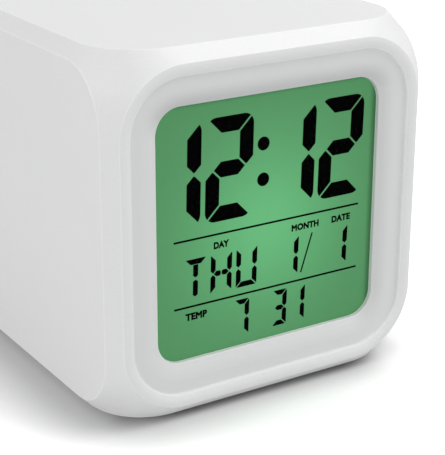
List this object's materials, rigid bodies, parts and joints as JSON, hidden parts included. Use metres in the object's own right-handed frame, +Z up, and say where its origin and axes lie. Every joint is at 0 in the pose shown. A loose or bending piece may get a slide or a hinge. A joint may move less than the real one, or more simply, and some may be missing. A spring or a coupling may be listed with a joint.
{
  "type": "digital led desk clock",
  "caption": "White translucent cube desk clock with a green lit square display in a stepped front recess, rear buttons, light switch and battery door.",
  "frame": {"origin": "on the table under the middle of the cube", "axes": "+X right as seen from the front, +Y from the display to the back, +Z up"},
  "size_m": [0.08, 0.08, 0.08],
  "materials": {
    "case_plastic": "milky translucent plastic with a fine satin grain",
    "control_plastic": "white plastic, satin",
    "frame_plastic": "white plastic, matt",
    "clear_glass": "thin clear glass",
    "segment_black": "liquid crystal segments, black when lit",
    "lit_green": "green lit display ground",
    "light_guide": "frosted acrylic",
    "white_film": "white reflecting film",
    "lamp_body": "small lamp package",
    "lamp_lens": "milky lamp resin",
    "contact_rubber": "layered contact rubber",
    "board": "green solder mask",
    "screw_steel": "zinc plated",
    "black_resin": "black epoxy",
    "can_metal": "drawn metal can",
    "capacitor_sleeve": "dark sleeve",
    "contact_metal": "nickel plated spring steel",
    "switch_plastic": "black plastic",
    "ribbon_pvc": "grey flat cable",
    "lead_black": "black insulation",
    "lead_red": "red insulation",
    "cell_wrap": "plain printed sleeve on a steel can"
  },
  "bodies": {
    "case": {"housing": "case_plastic", "front_glass": "clear_glass", "lcd_segments": "segment_black", "rear_glass": "lit_green", "light_guide": "light_guide", "reflector": "white_film", "edge_lights": "lamp_body", "contact_strips": "contact_rubber", "display_frame": "frame_plastic", "main_board": "board", "board_screws": "screw_steel", "case_leds": "lamp_lens", "chip_drop": "black_resin", "crystal": "can_metal", "capacitor": "capacitor_sleeve", "tap_sensor": "can_metal", "thermistor": "black_resin", "rear_cover": "case_plastic", "case_screws": "screw_steel", "aaa_cell_1": "cell_wrap", "aaa_cell_2": "cell_wrap", "aaa_cell_3": "cell_wrap", "aaa_cell_4": "cell_wrap", "contact_bridge_left": "contact_metal", "contact_bridge_low": "contact_metal", "contact_bridge_high": "contact_metal", "terminal_negative": "contact_metal", "terminal_positive": "contact_metal", "battery_springs": "contact_metal", "key_board": "board", "key_board_screws": "screw_steel", "tact_switches": "switch_plastic", "switch_body": "switch_plastic", "buzzer": "switch_plastic", "ribbon_cable": "ribbon_pvc", "black_lead": "lead_black", "red_lead": "lead_red"},
    "battery_door": {"battery_door": "case_plastic"},
    "light_switch": {"light_switch_knob": "control_plastic"},
    "set_button": {"set_button": "control_plastic", "set_plunger": "switch_plastic"},
    "mode_button": {"mode_button": "control_plastic", "mode_plunger": "switch_plastic"},
    "down_button": {"down_button": "control_plastic", "down_plunger": "switch_plastic"},
    "up_button": {"up_button": "control_plastic", "up_plunger": "switch_plastic"}
  },
  "joints": [
    {"name": "battery_door_hinge", "type": "hinge", "parent": "case", "child": "battery_door", "pos_m": [0, 0.039, 0.0082], "axis": [-1, 0, 0], "range_deg": [0, 85]},
    {"name": "light_switch_slide", "type": "slide", "parent": "case", "child": "light_switch", "axis": [1, 0, 0], "range_m": [0, 0.003]},
    {"name": "set_button_press", "type": "slide", "parent": "case", "child": "set_button", "axis": [0, -1, 0], "range_m": [0, 0.0005], "stiffness_N_per_m": 1600},
    {"name": "mode_button_press", "type": "slide", "parent": "case", "child": "mode_button", "axis": [0, -1, 0], "range_m": [0, 0.0005], "stiffness_N_per_m": 1600},
    {"name": "down_button_press", "type": "slide", "parent": "case", "child": "down_button", "axis": [0, -1, 0], "range_m": [0, 0.0005], "stiffness_N_per_m": 1600},
    {"name": "up_button_press", "type": "slide", "parent": "case", "child": "up_button", "axis": [0, -1, 0], "range_m": [0, 0.0005], "stiffness_N_per_m": 1600}
  ]
}
